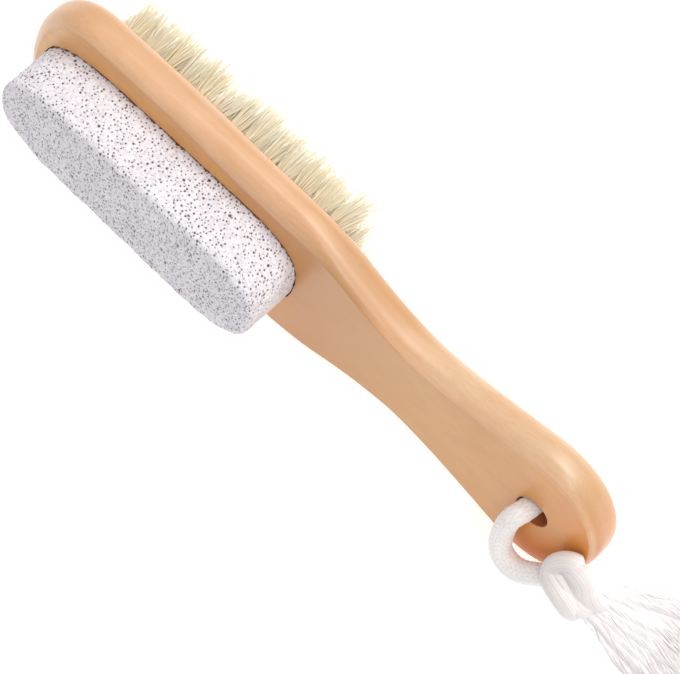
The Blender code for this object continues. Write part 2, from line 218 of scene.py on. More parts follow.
class Shader:
    """A principled material and the few node makers that this scene needs."""

    def __init__(self, name, roughness=0.5, **settings):
        self.material = bpy.data.materials.new(name)
        self.material.use_nodes = True
        self.nodes = self.material.node_tree.nodes
        self.links = self.material.node_tree.links
        self.out = self.nodes["Principled BSDF"]
        self.out.inputs["Roughness"].default_value = roughness
        for socket, value in settings.items():
            self.out.inputs[socket.replace("_", " ")].default_value = value
        coords = self.nodes.new("ShaderNodeTexCoord")
        self.place = coords.outputs["Object"]

    def link(self, source, target):
        if hasattr(source, "links"):
            self.links.new(source, target)
        else:
            target.default_value = source

    def add(self, kind, inputs=None, **settings):
        """A new node with its settings and inputs made."""
        node = self.nodes.new(kind)
        for name, value in settings.items():
            setattr(node, name, value)
        for socket, source in (inputs or {}).items():
            self.link(source, node.inputs[socket])
        return node

    def scaled(self, x, y, z):
        return self.add("ShaderNodeMapping", {"Scale": (x, y, z), "Vector": self.place}).outputs["Vector"]

    def noise(self, vector, scale, detail, rough):
        inputs = {"Vector": vector, "Scale": scale, "Detail": detail, "Roughness": rough}
        return self.add("ShaderNodeTexNoise", inputs).outputs["Fac"]

    def dots(self, vector, scale, least, most):
        """One where a cell's round dot is, with a radius between two shares of the cell."""
        cells = self.add("ShaderNodeTexVoronoi", {"Vector": vector, "Scale": scale})
        radius = self.spread(cells.outputs["Color"], 0.0, 1.0, least, most)
        return self.maths("LESS_THAN", cells.outputs["Distance"], radius)

    def ramp(self, value, *stops):
        node = self.add("ShaderNodeValToRGB", {"Fac": value})
        elements = node.color_ramp.elements
        while len(elements) < len(stops):
            elements.new(0.5)
        for element, (position, colour) in zip(elements, stops):
            element.position = position
            element.color = colour if hasattr(colour, "__len__") else (colour, colour, colour, 1.0)
        return node.outputs["Color"]

    def tones(self, value, low, high, rows):
        """Screen colours by place, where the place runs from low to high."""
        stops = [((at - low) / (high - low), srgb(*colour)) for at, colour in rows]
        return self.ramp(self.spread(value, low, high, 0.0, 1.0), *stops)

    def mix(self, factor, low, high):
        inputs = {"Factor": factor, "A": low, "B": high}
        return self.add("ShaderNodeMix", inputs, data_type="RGBA").outputs["Result"]

    def tint(self, base, value, low, high, to_low, to_high, colour):
        """The base with a screen colour mixed in, by a share that runs with a value from low to high."""
        return self.mix(self.spread(value, low, high, to_low, to_high), base, srgb(*colour))

    def maths(self, kind, first, second):
        return self.add("ShaderNodeMath", {0: first, 1: second}, operation=kind).outputs["Value"]

    def spread(self, value, low, high, to_low, to_high):
        inputs = {"Value": value, "From Min": low, "From Max": high, "To Min": to_low, "To Max": to_high}
        return self.add("ShaderNodeMapRange", inputs).outputs["Result"]

    def distance_from(self, x, y, z):
        inputs = {0: self.place, 1: (x, y, z)}
        return self.add("ShaderNodeVectorMath", inputs, operation="DISTANCE").outputs["Value"]

    def axis(self, name):
        return self.add("ShaderNodeSeparateXYZ", {"Vector": self.place}).outputs[name]

    def attribute(self, name, output="Fac"):
        return self.add("ShaderNodeAttribute", attribute_name=name).outputs[output]

    def bump(self, height, distance, strength):
        inputs = {"Height": height, "Distance": distance, "Strength": strength}
        self.link(self.add("ShaderNodeBump", inputs).outputs["Normal"], self.out.inputs["Normal"])

    def colour(self, value):
        self.link(value, self.out.inputs["Base Color"])


# The wood's screen colours by place in metres: the flat face along the board, then the rounded edge through
# the board and along it
# The flat face's colours are partly the wood's own and partly painted light: paler near the head, where light
# bounces off the stone onto the face.
flat_tones = (
    (0.008, (238, 180, 112)),
    (0.020, (240, 172, 91)),
    (0.057, (235, 167, 80)),
    (0.067, (225, 154, 68)),
    (0.081, (207, 143, 70)),
    (0.090, (196, 134, 68)),
    (0.104, (200, 141, 64)),
    (0.125, (208, 148, 66)),
    (0.152, (214, 147, 58)),
    (0.164, (222, 144, 50)),
    (0.172, (230, 140, 42)),
)
# Through the board the edge is paler towards the stone's side: a painted light gradient across the rounded
# edge.
edge_tones = (
    (-0.0046, (236, 189, 148)),
    (-0.0036, (232, 184, 144)),
    (-0.0003, (221, 175, 136)),
    (0.0022, (212, 167, 126)),
    (0.0049, (214, 169, 128)),
)
edge_tones_along = (
    (0.100, (197, 149, 105)),
    (0.111, (199, 151, 107)),
    (0.120, (216, 176, 138)),
    (0.132, (219, 184, 149)),
    (0.155, (217, 181, 145)),
    (0.164, (208, 170, 130)),
    (0.171, (198, 152, 107)),
    (0.177, (200, 126, 62)),
)


def wood_material():
    """Lacquered wood, paler on the rounded edge and more orange towards the grip's end, with painted light: a
    paler face near the head, a paler edge on the stone's side, highlights along the crease, a warm bounce by
    the knot and shade in the stone's seat.
    """
    s = Shader("lacquered_hardwood_look", Coat_Weight=0.45, Coat_Roughness=0.30, Coat_IOR=1.45)
    mottle = s.noise(s.scaled(0.45, 1.0, 1.0), 330.0, 3.0, 0.55)
    fibre = s.noise(s.scaled(0.06, 1.0, 1.0), 1500.0, 3.0, 0.6)
    fleck = s.noise(s.scaled(0.25, 1.0, 1.0), 1900.0, 2.0, 0.5)
    cloud = s.noise(s.place, 60.0, 2.0, 0.5)
    crease = s.attribute("from_crease")
    x = s.axis("X")
    y = s.axis("Y")
    flat = s.tones(x, 0.0, board_length, flat_tones)
    flat = s.tint(flat, mottle, 0.34, 0.66, 0.26, 0.0, (186, 124, 62))
    dark = s.ramp(crease, (0.500, 0.26), (0.520, 0.16), (0.600, 0.0))
    flat = s.mix(s.maths("MULTIPLY", dark, s.spread(x, 0.145, 0.165, 1.0, 0.3)), flat, srgb(190, 116, 54))
    edge = s.tones(y, -face, face, edge_tones)
    along = s.tones(x, 0.0, board_length, edge_tones_along)
    edge = s.mix(s.spread(x, 0.074, 0.091, 0.0, 1.0), edge, along)
    # A painted highlight: the edge is paler beside the stone's crease, from the waist to the grip's end.
    crease_highlight = s.spread(y, -0.0030, -0.0044, 0.0, 0.6)
    crease_highlight = s.maths("MULTIPLY", crease_highlight, s.spread(x, 0.100, 0.108, 0.0, 1.0))
    edge = s.mix(crease_highlight, edge, srgb(244, 194, 154))
    edge = s.tint(edge, mottle, 0.35, 0.65, 0.22, 0.0, (206, 156, 106))
    base = s.mix(s.ramp(crease, (0.450, 0.0), (0.535, 1.0)), edge, flat)
    # A painted highlight: a pale line along the crease round the grip's end.
    line = s.ramp(crease, (0.474, 0.0), (0.490, 0.55), (0.508, 0.0))
    base = s.mix(s.maths("MULTIPLY", line, s.spread(x, 0.148, 0.158, 0.0, 1.0)), base, srgb(246, 208, 160))
    base = s.tint(base, cloud, 0.38, 0.68, 0.0, 0.16, (208, 140, 80))
    base = s.tint(base, fibre, 0.40, 0.66, 0.0, 0.14, (190, 128, 72))
    base = s.tint(base, fleck, 0.60, 0.72, 0.0, 0.14, (170, 106, 56))
    # Painted light: a warm orange on the wood under the knot, standing for light bounced from the knot.
    knot_bounce_glow = s.distance_from(hole_x + 0.010, -face, -0.015)
    base = s.tint(base, knot_bounce_glow, 0.004, 0.015, 0.85, 0.0, (232, 140, 60))
    # Inside the cuts the wood is dark brown in the stone's seat, painted shade in the gap round the stone,
    # and orange-brown in the cord's hole.
    inside = s.tones(x, 0.0, board_length, ((0.090, (140, 64, 30)), (0.150, (180, 106, 60))))
    base = s.mix(s.attribute("in_hole"), base, inside)
    s.colour(base)
    s.link(s.spread(cloud, 0.3, 0.7, 0.34, 0.44), s.out.inputs["Roughness"])
    s.bump(fibre, 0.00003, 0.30)
    return s.material


def stone_material():
    """Pale porous stone, with painted shade greyer on its work face and dark in its pores, and brown at its
    foot where it meets the wood: the glue line with painted shadow of the gap.
    """
    s = Shader("pumice_look", roughness=0.95)
    grain = s.noise(s.place, 1500.0, 4.0, 0.7)
    broad = s.noise(s.place, 120.0, 3.0, 0.5)
    y = s.axis("Y")
    base = s.ramp(broad, (0.30, srgb(236, 232, 238)), (0.70, srgb(247, 244, 249)))
    # Painted shade: the work face, turned away from the light, is greyer.
    base = s.tint(base, y, work_y + 0.0004, work_y + 0.0016, 0.12, 0.0, (206, 198, 200))
    base = s.tint(base, grain, 0.40, 0.66, 0.0, 0.55, (180, 171, 182))
    # Painted shade in pores: dark dots for small pits not cut in the mesh, and darker where the cut pores are
    # deep.
    faint = s.dots(s.scaled(1.0, 1.07, 0.93), 2300.0, 0.0, 0.31)
    base = s.mix(s.maths("MULTIPLY", faint, 0.42), base, srgb(104, 92, 106))
    dark = s.dots(s.place, 1350.0, -0.04, 0.30)
    base = s.mix(s.maths("MULTIPLY", dark, 0.80), base, srgb(82, 70, 82))
    base = s.tint(base, s.attribute("pore"), 0.10, 0.60, 0.0, 0.92, (70, 58, 68))
    # Brown ragged band at the stone's foot where it meets the wood: the glue line's colour with painted
    # shadow of the joint's gap.
    ragged = s.maths("ADD", y, s.spread(s.noise(s.place, 480.0, 3.0, 0.7), 0.3, 0.7, -0.00045, 0.00035))
    base = s.tint(base, ragged, -face - 0.00020, -face + 0.00005, 0.0, 0.92, (138, 72, 44))
    s.colour(base)
    height = s.maths("SUBTRACT", s.maths("MULTIPLY", grain, 0.5), dark)
    s.bump(height, 0.00014, 0.9)
    return s.material


def bristle_material():
    """Cream hairs of several tones, with painted shade darker at their roots."""
    s = Shader("natural_bristle_look", roughness=0.55, Sheen_Weight=0.3)
    tone = s.attribute("tone")
    base = s.ramp(tone, (0.0, srgb(253, 237, 198)), (0.45, srgb(255, 246, 219)), (1.0, srgb(255, 252, 236)))
    # Painted shade: the hairs darken towards their roots, where the tufts shade one another.
    root = s.ramp(s.attribute("along"), (0.0, 0.45), (0.35, 0.16), (0.70, 0.0))
    s.colour(s.mix(root, base, srgb(226, 196, 132)))
    return s.material


def cotton_material(name, low, high, fuzz=0.00009):
    """White cotton between two screen colours, with painted shade greyer in its grooves, and a fine fuzz."""
    s = Shader(name, roughness=0.9, Sheen_Weight=0.35, Sheen_Roughness=0.5)
    fine = s.noise(s.attribute("lay", "Vector"), 2600.0, 3.0, 0.6)
    broad = s.noise(s.place, 160.0, 2.0, 0.5)
    base = s.ramp(broad, (0.3, srgb(*low)), (0.7, srgb(*high)))
    base = s.tint(base, fine, 0.38, 0.66, 0.0, 0.14, (222, 212, 211))
    # Painted shade: greyer where the groove value is high, in the grooves between stitches and plies and on
    # the tassel's middle under its yarns.
    base = s.tint(base, s.attribute("groove_shade"), 0.25, 1.0, 0.0, 0.34, (174, 158, 156))
    s.colour(base)
    s.bump(fine, fuzz, 0.7)
    return s.material


def adhesive_material():
    s = Shader("set_adhesive_look", roughness=0.4)
    cloud = s.noise(s.place, 300.0, 3.0, 0.5)
    s.colour(s.ramp(cloud, (0.3, srgb(150, 112, 66)), (0.7, srgb(182, 146, 96))))
    s.bump(cloud, 0.0001, 0.4)
    return s.material


def floor_material():
    """A pale floor that glows a little, so that it stays white behind the object."""
    s = Shader("studio_floor", roughness=0.9, Emission_Color=(1.0, 1.0, 1.0, 1.0), Emission_Strength=0.5)
    cloud = s.noise(s.place, 6.0, 2.0, 0.5)
    s.colour(s.ramp(cloud, (0.2, srgb(247, 247, 247)), (0.8, srgb(251, 251, 251))))
    return s.material


# Mesh helpers


def set_values(mesh, attribute, numbers):
    """Gives the mesh a point attribute of numbers or vectors."""
    numbers = np.asarray(numbers, np.float32)
    kind, field = ("FLOAT_VECTOR", "vector") if numbers.ndim == 2 else ("FLOAT", "value")
    mesh.attributes.new(attribute, kind, "POINT").data.foreach_set(field, numbers.ravel())


def mesh_from(name, points, faces, values=None, turn_out=False, weld=0.0):
    """A mesh with point attributes, if asked with its faces turned outwards."""
    mesh = bpy.data.meshes.new(name)
    mesh.from_pydata([tuple(p) for p in points], [], faces)
    for attribute, numbers in (values or {}).items():
        set_values(mesh, attribute, numbers)
    mesh.validate()
    if turn_out:
        bm = bmesh.new()
        bm.from_mesh(mesh)
        if weld:
            bmesh.ops.remove_doubles(bm, verts=bm.verts, dist=weld)
        bmesh.ops.recalc_face_normals(bm, faces=bm.faces)
        bm.to_mesh(mesh)
        bm.free()
    return mesh


def linked(name, data):
    """A new object in the scene's collection."""
    made = bpy.data.objects.new(name, data)
    bpy.context.scene.collection.objects.link(made)
    return made


def piece(name, mesh, material, body, *replaced, slot):
    """A finished piece in the brush frame that rides on a body and stands for CAD nodes."""
    made = linked(name, mesh)
    made.matrix_world = brush
    mesh.materials.append(material)
    mesh.shade_smooth()
    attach(made, body)
    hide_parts(*replaced)
    return made


def read_values(items, field, size=1, kind=np.float32):
    """One field of a mesh's items, with a row to each item where it has several numbers."""
    values = np.zeros(len(items) * size, kind)
    items.foreach_get(field, values)
    return values.reshape(-1, size) if size > 1 else values


def way_along(points):
    """The way walked from the first point to each."""
    return np.concatenate([[0.0], np.cumsum(np.linalg.norm(np.diff(points, axis=0), axis=1))])


def at_ways(at, walked, rows):
    """Rows of numbers that belong to ways walked, read at other ways."""
    return np.stack([np.interp(at, walked, column) for column in rows.T], 1)


def strip_faces(rings, around, start=0):
    """Quads between closed rings of equal length."""
    made = []
    for first in range(start, start + (rings - 1) * around, around):
        for j in range(around):
            a, b = first + j, first + (j + 1) % around
            made.append((a, b, b + around, a + around))
    return made


def capped_faces(rings, around, start=0):
    """Quads between closed rings, with a cap on the first and the last."""
    last = start + (rings - 1) * around
    caps = [tuple(range(start + around - 1, start - 1, -1)), tuple(range(last, last + around))]
    return strip_faces(rings, around, start) + caps


def unit_ring(sides):
    """Cosine and sine of even turns round a circle."""
    turns = [2.0 * pi * j / sides for j in range(sides)]
    return [(cos(turn), sin(turn)) for turn in turns]


def smoothstep(value, start, end):
    t = np.clip((value - start) / (end - start), 0.0, 1.0)
    return t * t * (3.0 - 2.0 * t)


# Board


def board_half_width(x):
    to_waist = smoothstep(x, shoulder_at, waist_at)
    to_grip = smoothstep(x, waist_at, grip_full_at)
    head = head_width / 2 - (x - head_crown_at) ** 2 / (2.0 * head_side_radius)
    return head * (1.0 - to_waist) + waist_width / 2 * (to_waist - to_grip) + grip_width / 2 * to_grip


def board_outline(end_steps=44, side_step=0.0012):
    """Points (x, z) round the board, up one side and back along the other."""
    angle = np.linspace(0.0, pi / 2, end_steps, endpoint=False)
    x = nose_run * (1.0 - np.cos(angle) ** (2.0 / nose_power))
    side = [np.stack([x, board_half_width(x) * np.sin(angle) ** (2.0 / nose_power)], 1)]
    straight = board_length - nose_run - tail_run
    x = nose_run + np.linspace(0.0, straight, round(straight / side_step), endpoint=False)
    side.append(np.stack([x, board_half_width(x)], 1))
    angle = np.linspace(0.0, pi / 2, end_steps + 1)
    x = board_length - tail_run + tail_run * np.sin(angle) ** (2.0 / tail_power)
    z = board_half_width(x) * np.maximum(np.cos(angle), 0.0) ** (2.0 / tail_power)
    side.append(np.stack([x, z], 1))
    half = np.concatenate(side)
    return np.concatenate([half, half[-2:0:-1] * (1.0, -1.0)])


def inset(outline, distance):
    """The outline moved inwards by a distance, or by each point's own distance."""
    run = np.roll(outline, -1, 0) - np.roll(outline, 1, 0)
    run /= np.linalg.norm(run, axis=1)[:, None]
    return outline + np.stack([run[:, 1], -run[:, 0]], 1) * np.reshape(distance, (-1, 1))


def edge_share(x):
    """The rounded edge's width at x as a share of edge_radius, smoothly changing along the board."""
    grid = np.linspace(-0.01, board_length + 0.01, 400)
    at, share = np.transpose(edge_shares)
    kernel = np.hanning(19)
    padded = np.pad(np.interp(grid, at, share), len(kernel) // 2, mode="edge")
    return np.interp(x, grid, np.convolve(padded, kernel / kernel.sum(), mode="valid"))


def crease_tag(distance):
    """A distance inwards from the crease as a share: 0.5 on the crease, up by 0.1 for each millimetre."""
    return np.clip(0.5 + 100.0 * distance, 0.03, 0.95)


def rough_board():
    """The board with its broken crease and rounded edge, before anything is cut."""
    outline = board_outline()
    share = edge_share(outline[:, 0])
    turn = np.linspace(crease_break, pi / 2, edge_rings)
    round_size = edge_radius / (1.0 - sin(crease_break))
    levels = [(value, None, 0.0) for value in crease_insets]
    levels += [(0.0, round_size * (1.0 - sin(a)), round_size * (cos(crease_break) - cos(a))) for a in turn]
    rings, tags = [], []
    for side in (-1.0, 1.0):
        for inward, rounding, depth in levels if side < 0.0 else levels[::-1]:
            crease = edge_radius * share
            place = crease + inward if rounding is None else rounding * share
            ring = inset(outline, place)
            rings.append(np.insert(ring, 1, side * (face - depth), axis=1))
            tags.append(crease_tag(place - crease))
    faces = capped_faces(len(rings), len(outline))
    tags = {"from_crease": np.concatenate(tags)}
    return mesh_from("wooden_paddle", np.concatenate(rings), faces, tags, turn_out=True)


def tag_inside(mesh, margin=0.0001):
    """Gives the vertices inside the crease their distance from it, and marks those below the faces."""
    places = read_values(mesh.vertices, "co", 3)
    across = places[:, (0, 2)]
    gaps = np.linalg.norm(across[:, None] - board_outline()[None], axis=2).min(axis=1)
    inward = gaps - edge_radius * edge_share(across[:, 0])
    from_crease = mesh.attributes["from_crease"].data
    tags = np.where(inward > margin, crease_tag(inward), read_values(from_crease, "value"))
    from_crease.foreach_set("value", tags.astype(np.float32))
    set_values(mesh, "in_hole", (inward > margin) & (np.abs(places[:, 1]) < face - margin / 2))


def build_board(material):
    """The board with the stone's seat and all its holes."""
    board = linked("wooden_paddle", rough_board())
    cutters = [seat_cutter(), hole_cutter(), tuft_cutter()]
    for cutter in cutters:
        cut = board.modifiers.new(cutter.name, "BOOLEAN")
        cut.operation = "DIFFERENCE"
        cut.solver = "EXACT"
        cut.object = cutter
    bpy.context.view_layer.update()
    done = bpy.data.meshes.new_from_object(board.evaluated_get(bpy.context.evaluated_depsgraph_get()))
    for extra in cutters + [board]:
        bpy.data.objects.remove(extra)
    done.name = "wooden_paddle"
    done.materials.clear()
    tag_inside(done)
    piece("wooden_paddle", done, material, "brush", "wooden_handle", slot="lacquered_hardwood")
    done.set_sharp_from_angle(angle=radians(9.0))


def solid_of_turning(name, profile, places, sides):
    """One mesh of equal solids turned about y, from (radius, y) pairs, at (x, z) places."""
    points, faces = [], []
    for px, pz in places:
        faces += capped_faces(len(profile), sides, len(points))
        for radius, y in profile:
            points += [(px + radius * c, y, pz + radius * s) for c, s in unit_ring(sides)]
    return linked(name, mesh_from(name, points, faces, turn_out=True))


def hole_cutter():
    """The cord's hole through the grip, its mouths a little rounded."""
    radius = hole_diameter / 2
    profile = [(radius + hole_round, -face - 0.001)]
    for angle in np.linspace(0.0, pi / 2, 5):
        profile.append((radius + hole_round * (1.0 - sin(angle)), -face + hole_round * (1.0 - cos(angle))))
    profile += [(r, -y) for r, y in reversed(profile)]
    return solid_of_turning("cord_hole_cutter", profile, [(hole_x, 0.0)], sides=72)


def tuft_places():
    """Row, column and the (x, z) place of each tuft."""
    rows = ((outer_row_tufts, -1.5), (inner_row_tufts, -0.5), (inner_row_tufts, 0.5), (outer_row_tufts, 1.5))
    places = []
    for row, (count, step) in enumerate(rows, start=1):
        for column in range(count):
            x = field_centre + (column - (count - 1) / 2) * tuft_pitch
            places.append((row, column + 1, x, step * row_pitch))
    return places


def tuft_cutter():
    """All the blind tuft holes, each with a broken edge."""
    radius = tuft_hole_diameter / 2
    edge = tuft_hole_break
    profile = [(radius, face - tuft_hole_depth), (radius, face - edge), (radius + 2.0 * edge, face + edge)]
    places = [(x, z) for _, _, x, z in tuft_places()]
    return solid_of_turning("tuft_hole_cutter", profile, places, sides=20)


def stone_outline(grow, count):
    """Evenly spaced points (x, z) round the stone, grown by a distance and the same on both sides."""
    angle = np.linspace(0.0, pi / 2, 181)
    tip_reach = np.cos(angle) ** (2.0 / stone_tip_power) * (stone_tip_run + grow)
    tip_x = stone_from_tip + stone_tip_run - tip_reach
    tip_side = np.sin(angle) ** (2.0 / stone_tip_power)
    end_reach = np.cos(angle) ** (2.0 / stone_end_power) * (stone_end_run + grow)
    end_x = stone_from_tip + stone_length - stone_end_run + end_reach
    end_side = np.sin(angle) ** (2.0 / stone_end_power)
    x = np.concatenate([tip_x, end_x[::-1]])
    share = np.clip((x - stone_from_tip) / stone_length, 0.0, 1.0)
    half_width = stone_width / 2 * (1.0 - stone_taper * (1.0 - share))
    z = np.concatenate([tip_side, end_side[::-1]]) * (half_width + grow)
    walked = np.concatenate([[0.0], np.cumsum(np.hypot(np.diff(x), np.diff(z)))])
    at = np.linspace(0.0, walked[-1], count // 2 + 1)
    half = at_ways(at, walked, np.stack([x, z], 1))
    return np.concatenate([half, half[-2:0:-1] * (1.0, -1.0)])


def seat_cutter():
    """The stone's seat, with a ragged mouth."""
    count = 520
    floor = stone_outline(seat_clearance, count)
    beside = smoothstep(np.abs(floor[:, 1]), 0.0070, 0.0120)
    spots = [Vector((x * mouth_waves, z * mouth_waves, 3.0)) for x, z in floor]
    ragged = np.array([noise.noise(spot) * mouth_ragged for spot in spots])
    mouth = inset(floor, ragged - mouth_gap * beside)
    lines = (mouth, mouth, floor, floor)
    depths = (-0.002, *mouth_depths, seat_depth)
    points = [(x, depth - face, z) for line, depth in zip(lines, depths) for x, z in line]
    mesh = mesh_from("stone_seat_cutter", points, capped_faces(len(lines), count), turn_out=True)
    return linked("stone_seat_cutter", mesh)


# Stone


def point_areas(mesh):
    """The share of the surface that belongs to each point."""
    totals = read_values(mesh.polygons, "loop_total", kind=np.int32)
    areas = read_values(mesh.polygons, "area")
    corners = read_values(mesh.loops, "vertex_index", kind=np.int32)
    shares = np.bincount(corners, np.repeat(areas / totals, totals), len(mesh.vertices))
    return shares / shares.sum()


def pore_places(points, areas, chance):
    """Point index, radius and depth of each pore, spread evenly and apart from one another."""
    tries = iter(chance.choice(len(points), pore_tries, p=areas))
    taken = np.full((sum(kind[0] for kind in pore_kinds), 3), 1.0)
    made = []
    for number, small, large, deep in pore_kinds[::-1]:
        for _ in range(number):
            i = next(tries)
            while np.min(np.linalg.norm(taken - points[i], axis=1)) < pore_spacing:
                i = next(tries)
            taken[len(made)] = points[i]
            size = chance.uniform(small, large)
            made.append((i, size, deep * size * chance.uniform(0.7, 1.3)))
    return made


def stone_mesh():
    """The pumice block before its pores are cut, with a fine even grid over all its faces."""
    base_y = -face + seat_depth - 2.0 * seat_clearance - adhesive_thickness
    ring = stone_outline(0.0, stone_around)
    low = stone_from_tip + middle_share * stone_tip_run
    high = stone_from_tip + stone_length - middle_share * stone_end_run
    middle = np.stack([np.clip(ring[:, 0], low, high), np.zeros(stone_around)], 1)
    rows = [(ring, y) for y in np.linspace(base_y, work_y + stone_edge_radius, wall_rings)]
    for angle in np.linspace(0.0, pi / 2, round_rings)[1:]:
        line = inset(ring, stone_edge_radius * (1.0 - cos(angle)))
        rows.append((line, work_y + stone_edge_radius * (1.0 - sin(angle))))
    rim = rows[-1][0]
    rows += [(middle + (rim - middle) * share, work_y) for share in np.linspace(1.0, 0.0, work_rings)[1:]]
    points = np.concatenate([np.insert(row, 1, y, axis=1) for row, y in rows])
    faces = strip_faces(len(rows), stone_around) + [tuple(range(stone_around))]
    return mesh_from("pumice_block", points, faces, turn_out=True, weld=0.000002)


def build_stone(material):
    """The pumice block, with open pores cut into its own surface."""
    mesh = stone_mesh()
    count = len(mesh.vertices)
    points = read_values(mesh.vertices, "co", 3)
    normals = read_values(mesh.vertices, "normal", 3)
    push = np.zeros(count)
    tree = kdtree.KDTree(count)
    for i, p in enumerate(points):
        q = Vector(p)
        tree.insert(q, i)
        push[i] = sum(height * noise.noise(q * waves) for height, waves in stone_waves)
    tree.balance()
    pore = np.zeros(count, np.float32)
    for i, size, deep in pore_places(points, point_areas(mesh), np.random.default_rng(11)):
        for _, j, distance in tree.find_range(points[i], size):
            share = 1.0 - (distance / size) ** 2
            push[j] = min(push[j], -deep * share**0.5)
            pore[j] = max(pore[j], share)
    mesh.vertices.foreach_set("co", (points + normals * push[:, None]).ravel())
    set_values(mesh, "pore", pore)
    piece("pumice_block", mesh, material, "brush", "pumice_stone", slot="pumice")


# Bristles


def hair(points, faces, path, widths):
    """Adds one tapering hair along a path."""
    steps = len(path)
    faces += capped_faces(steps, hair_sides, len(points))
    for k, (place, width) in enumerate(zip(path, widths)):
        run = path[min(k + 1, steps - 1)] - path[max(k - 1, 0)]
        side = run.orthogonal().normalized()
        other = run.normalized().cross(side)
        points += [place + (side * c + other * s) * width for c, s in unit_ring(hair_sides)]


def tuft_hairs(row_side, column_end, x, z, chance):
    """Paths and widths of one tuft's hairs, which lean together and part into clumps."""
    up = Vector(ground_up)
    twist = chance.uniform(0.0, 2.0 * pi)
    lean_x = chance.gauss(0.0, 0.0009) + end_tuft_lean.get(column_end, 0.0)
    lean_z = chance.gauss(0.0, 0.0006) + 0.0006 * row_side
    tuft_length = chance.gauss(0.0, 0.0005)
    clumps = []
    for c in range(tuft_clumps):
        angle = 2.0 * pi * c / tuft_clumps + chance.uniform(-0.4, 0.4)
        far = chance.uniform(0.30, 1.0)
        clumps.append((cos(angle) * far, sin(angle) * far, chance.uniform(-0.0009, 0.0005)))
    made = []
    for h in range(hairs_per_tuft):
        spread = ((h + 0.5) / hairs_per_tuft) ** 0.5
        angle = h * golden_turn + twist
        off = hair_root_spread * spread
        root = Vector((x + off * cos(angle), face - hair_root_depth, z + off * sin(angle)))
        fan_x = spread * cos(angle) + chance.gauss(0.0, 0.22)
        fan_z = spread * sin(angle) + chance.gauss(0.0, 0.22)
        clump = min(clumps, key=lambda k: (k[0] - fan_x) ** 2 + (k[1] - fan_z) ** 2)
        pull = chance.uniform(0.10, 0.50)
        fan_x += (clump[0] - fan_x) * pull
        fan_z += (clump[1] - fan_z) * pull
        if h % hairs_to_a_stray == 0:
            fan_x *= 1.45
            fan_z *= 1.15
        length = trim_height + tuft_length + chance.gauss(0.0003, 0.0006) + clump[2]
        tip = Vector((x + fan_along * fan_x + lean_x, face + length, z + fan_across * fan_z + lean_z))
        low = tip.dot(up) - ground_level
        if low < tip_above_ground:
            tip += up * (tip_above_ground - low)
        bow = Vector((chance.gauss(0.0, 0.0007), 0.0, chance.gauss(0.0, 0.0007)))
        middle = root.lerp(tip, 0.5) + Vector((tip.x - root.x, 0.0, tip.z - root.z)) * 0.06 + bow
        path = [root * (1.0 - t) ** 2 + middle * 2.0 * t * (1.0 - t) + tip * t * t for t in hair_stations]
        width = chance.uniform(0.000085, 0.000125)
        made.append((path, [width * share for share in hair_taper]))
    return made


def build_bristles(material):
    """One piece a row, each of dense tufts of fine tapering hairs."""
    chance = random.Random(23)
    for row in (1, 2, 3, 4):
        points, faces, tone, names = [], [], [], []
        row_side = {1: -1.0, 4: 1.0}.get(row, 0.0)
        places = [place for place in tuft_places() if place[0] == row]
        for _, column, x, z in places:
            names.append(f"bristle_tuft_{row}_{column:02d}")
            tuft_tone = chance.uniform(-0.12, 0.12)
            column_end = {1: -1.0, len(places): 1.0}.get(column, 0.0)
            for path, widths in tuft_hairs(row_side, column_end, x, z, chance):
                hair(points, faces, path, widths)
                shade = 0.5 + tuft_tone + chance.gauss(0.0, 0.20)
                tone += [min(max(shade, 0.0), 1.0)] * (hair_sides * len(path))
        along_hair = np.repeat(hair_stations, hair_sides)
        along = np.tile(along_hair, len(points) // len(along_hair))
        mesh = mesh_from(f"bristle_row_{row}", points, faces, {"tone": tone, "along": along})
        piece(f"bristle_row_{row}", mesh, material, "brush", *names, slot="natural_bristle")


# Cord

# The cord's route in the brush frame from the hole's centre, as in the part
cord_route = (
    (0.0123, -0.0088, -0.0099),
    (0.0111, -0.0090, -0.0113),
    (0.0095, -0.0092, -0.0133),
    (0.0080, -0.0094, -0.0154),
    (0.0061, -0.0095, -0.0171),
    (0.0041, -0.0094, -0.0182),
    (0.0019, -0.0093, -0.0179),
    (0.0000, -0.0093, -0.0162),
    (-0.0013, -0.0092, -0.0133),
    (-0.0020, -0.0090, -0.0098),
    (-0.0024, -0.0089, -0.0064),
    (-0.0024, -0.0086, -0.0029),
    (-0.0020, -0.0079, -0.0006),
    (-0.0014, -0.0063, 0.0004),
    (-0.0010, -0.0034, 0.0006),
    (-0.0009, 0.0000, 0.0007),
    (-0.0009, 0.0032, 0.0006),
    (-0.0012, 0.0062, 0.0002),
    (-0.0013, 0.0081, -0.0015),
    (-0.0010, 0.0088, -0.0046),
    (0.0008, 0.0089, -0.0084),
    (0.0037, 0.0088, -0.0118),
    (0.0070, 0.0084, -0.0145),
    (0.0102, 0.0071, -0.0166),
    (0.0128, 0.0046, -0.0178),
    (0.0144, 0.0013, -0.0179),
    (0.0152, -0.0019, -0.0172),
    (0.0156, -0.0044, -0.0158),
)


def smooth_line(route, spacing, steps=24):
    """Evenly spaced points along the smooth curve through a route, and the way walked to each."""
    p = np.asarray(route, float)
    padded = np.concatenate([[2.0 * p[0] - p[1]], p, [2.0 * p[-1] - p[-2]]])
    fine = []
    for a, b, c, d in zip(padded, padded[1:], padded[2:], padded[3:]):
        for t in np.linspace(0.0, 1.0, steps, endpoint=False):
            square = (2.0 * a - 5.0 * b + 4.0 * c - d) * t**2
            cube = (3.0 * b - a - 3.0 * c + d) * t**3
            fine.append(0.5 * (2.0 * b + (c - a) * t + square + cube))
    fine = np.array(fine + [p[-1]])
    walked = way_along(fine)
    at = np.linspace(0.0, walked[-1], max(2, round(walked[-1] / spacing) + 1))
    return at_ways(at, walked, fine), at


